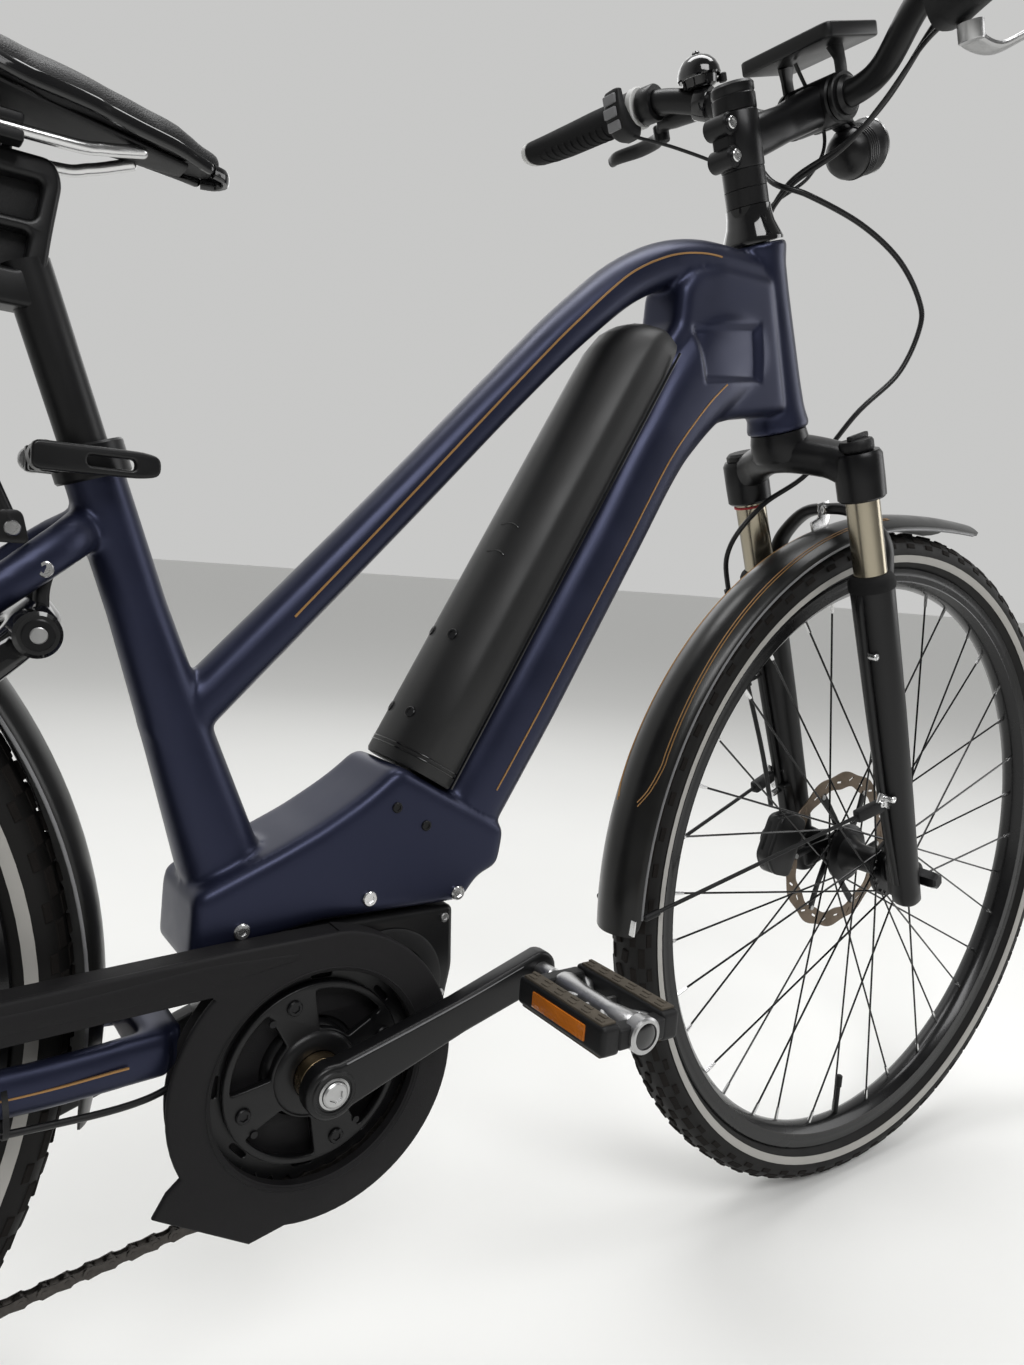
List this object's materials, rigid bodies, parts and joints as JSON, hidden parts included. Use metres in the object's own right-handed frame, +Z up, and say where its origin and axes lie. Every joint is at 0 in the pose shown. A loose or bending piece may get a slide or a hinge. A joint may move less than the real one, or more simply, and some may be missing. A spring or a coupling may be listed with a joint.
{
  "type": "trekking bicycle with mid motor",
  "caption": "Low-step trekking bicycle with a battery in the down tube, mid motor, suspension fork, mudguards, carrier and side stand.",
  "frame": {"origin": "middle of the bicycle's bounding box, on the ground between the tyres", "axes": "+X forwards along the bicycle, +Y to the rider's left, +Z up"},
  "size_m": [1.8916, 0.66, 1.1476],
  "materials": {
    "navy_paint": "satin dark blue paint",
    "tyre_rubber": "matte tread rubber",
    "black_alloy": "black anodised and painted alloy",
    "rotor_steel": "ground steel",
    "cog_steel": "oiled dark steel",
    "black_plastic": "moulded matte plastic",
    "gloss_black": "gloss black",
    "fender_sheet": "satin dark sheet",
    "grip_rubber": "matte rubber",
    "saddle_cover": "synthetic leather",
    "silver_steel": "bright steel",
    "hose_jacket": "smooth black jacket"
  },
  "bodies": {
    "frame": {"head_tube": "navy_paint", "seat_tube": "navy_paint", "down_tube": "navy_paint", "top_tube": "navy_paint", "motor_cradle": "navy_paint", "motor_unit": "black_plastic", "chain_guard": "black_plastic", "chain": "cog_steel", "rear_derailleur": "black_alloy", "seat_clamp": "black_alloy", "battery_pack": "black_plastic", "chainstays": "navy_paint", "seatstays": "navy_paint", "rear_fender": "fender_sheet", "luggage_rack": "black_alloy", "ring_lock": "gloss_black", "rear_axle": "black_alloy"},
    "steering": {"fork_crown": "black_alloy", "headset_cover": "gloss_black", "stem": "black_alloy", "handlebar": "black_alloy", "grip_left": "grip_rubber", "grip_right": "grip_rubber", "brake_body_left": "black_alloy", "brake_body_right": "black_alloy", "control_pod": "black_plastic", "display": "black_plastic", "bell": "gloss_black", "headlight": "black_plastic", "front_hose": "hose_jacket", "rear_cables": "hose_jacket"},
    "fork_slider": {"fork_lowers": "black_alloy", "front_fender": "fender_sheet", "front_axle": "black_alloy", "front_caliper": "black_alloy"},
    "front_wheel": {"front_tyre": "tyre_rubber", "front_rim": "black_alloy", "front_hub": "black_alloy", "front_rotor": "rotor_steel"},
    "rear_wheel": {"rear_tyre": "tyre_rubber", "rear_rim": "black_alloy", "rear_hub": "black_alloy"},
    "crankset": {"chainring": "black_alloy", "crank_right": "black_alloy", "crank_left": "black_alloy"},
    "rear_cogs": {"cassette": "cog_steel"},
    "right_pedal": {"pedal_right": "grip_rubber"},
    "left_pedal": {"pedal_left": "grip_rubber"},
    "saddle_post": {"seatpost": "black_alloy", "saddle_rails": "silver_steel", "saddle": "saddle_cover"},
    "post_lever": {"clamp_lever": "black_alloy"},
    "left_brake_lever": {"brake_lever_left": "black_alloy"},
    "right_brake_lever": {"brake_lever_right": "black_alloy"},
    "gear_lever": {"shift_lever": "silver_steel"},
    "bell_striker": {"bell_lever": "gloss_black"},
    "fork_lockout": {"lockout_knob": "black_plastic"},
    "tension_arm": {"derailleur_cage": "black_alloy"},
    "side_stand": {"stand_leg": "black_alloy"},
    "lock_slider": {"lock_lever": "black_plastic"}
  },
  "joints": [
    {"name": "steering_turn", "type": "hinge", "parent": "frame", "child": "steering", "pos_m": [0.34882, 0, 0.86366], "axis": [-0.3518, 0, 0.9361], "range_deg": [-40, 40], "deforming": ["rear_cables"]},
    {"name": "fork_travel", "type": "slide", "parent": "steering", "child": "fork_slider", "axis": [-0.3518, 0, 0.9361], "range_m": [0, 0.05], "stiffness_N_per_m": 8000, "springref_m": -0.02, "deforming": ["front_hose"]},
    {"name": "front_wheel_spin", "type": "hinge", "parent": "fork_slider", "child": "front_wheel", "pos_m": [0.58985, 0, 0.356], "axis": [0, 1, 0], "continuous": true},
    {"name": "rear_wheel_spin", "type": "hinge", "parent": "frame", "child": "rear_wheel", "pos_m": [-0.57415, 0, 0.356], "axis": [0, 1, 0], "continuous": true},
    {"name": "crank_spin", "type": "hinge", "parent": "frame", "child": "crankset", "pos_m": [-0.07815, 0, 0.297], "axis": [0, 1, 0], "continuous": true},
    {"name": "cassette_spin", "type": "hinge", "parent": "frame", "child": "rear_cogs", "pos_m": [-0.57415, 0, 0.356], "axis": [0, 1, 0], "continuous": true},
    {"name": "right_pedal_spin", "type": "hinge", "parent": "crankset", "child": "right_pedal", "pos_m": [0.08334, -0.146, 0.3501], "axis": [0, 1, 0], "continuous": true},
    {"name": "left_pedal_spin", "type": "hinge", "parent": "crankset", "child": "left_pedal", "pos_m": [-0.23965, 0.146, 0.2439], "axis": [0, 1, 0], "continuous": true},
    {"name": "seatpost_slide", "type": "slide", "parent": "frame", "child": "saddle_post", "axis": [-0.3272, 0, 0.9449], "range_m": [-0.06, 0.1]},
    {"name": "post_lever_swing", "type": "hinge", "parent": "frame", "child": "post_lever", "pos_m": [-0.24666, -0.03, 0.68254], "axis": [0.3272, 0, -0.9449], "range_deg": [0, 120]},
    {"name": "left_brake_pull", "type": "hinge", "parent": "steering", "child": "left_brake_lever", "pos_m": [0.36912, 0.188, 1.10525], "axis": [-0.3518, 0, 0.9361], "range_deg": [0, 18], "stiffness_Nm_per_rad": 4, "springref_deg": -2.86},
    {"name": "right_brake_pull", "type": "hinge", "parent": "steering", "child": "right_brake_lever", "pos_m": [0.36912, -0.188, 1.10525], "axis": [0.3518, 0, -0.9361], "range_deg": [0, 18], "stiffness_Nm_per_rad": 4, "springref_deg": -2.86},
    {"name": "gear_lever_push", "type": "hinge", "parent": "steering", "child": "gear_lever", "pos_m": [0.36165, -0.16, 1.06825], "axis": [-0.3518, 0, 0.9361], "range_deg": [0, 25], "stiffness_Nm_per_rad": 1, "springref_deg": -2.86},
    {"name": "bell_flick", "type": "hinge", "parent": "steering", "child": "bell_striker", "pos_m": [0.37343, 0.11, 1.13357], "axis": [0.3518, 0, -0.9361], "range_deg": [0, 20], "stiffness_Nm_per_rad": 0.2, "springref_deg": -2.86},
    {"name": "lockout_turn", "type": "hinge", "parent": "steering", "child": "fork_lockout", "pos_m": [0.40671, -0.066, 0.77218], "axis": [-0.3518, 0, 0.9361], "range_deg": [0, 90]},
    {"name": "derailleur_tension", "type": "hinge", "parent": "frame", "child": "tension_arm", "pos_m": [-0.56715, -0.046, 0.282], "axis": [0, 1, 0], "range_deg": [-15, 25], "stiffness_Nm_per_rad": 3, "deforming": ["chain"]},
    {"name": "stand_fold", "type": "hinge", "parent": "frame", "child": "side_stand", "pos_m": [-0.50215, 0.093, 0.322], "axis": [0.0491, 0.979, 0.1979], "range_deg": [0, 95]},
    {"name": "lock_slide", "type": "slide", "parent": "frame", "child": "lock_slider", "axis": [-0.766, 0, -0.6428], "range_m": [0, 0.045]}
  ],
  "couplings": [
    {"joint": "cassette_spin", "follows": "crank_spin", "ratio": 2.5333}
  ]
}
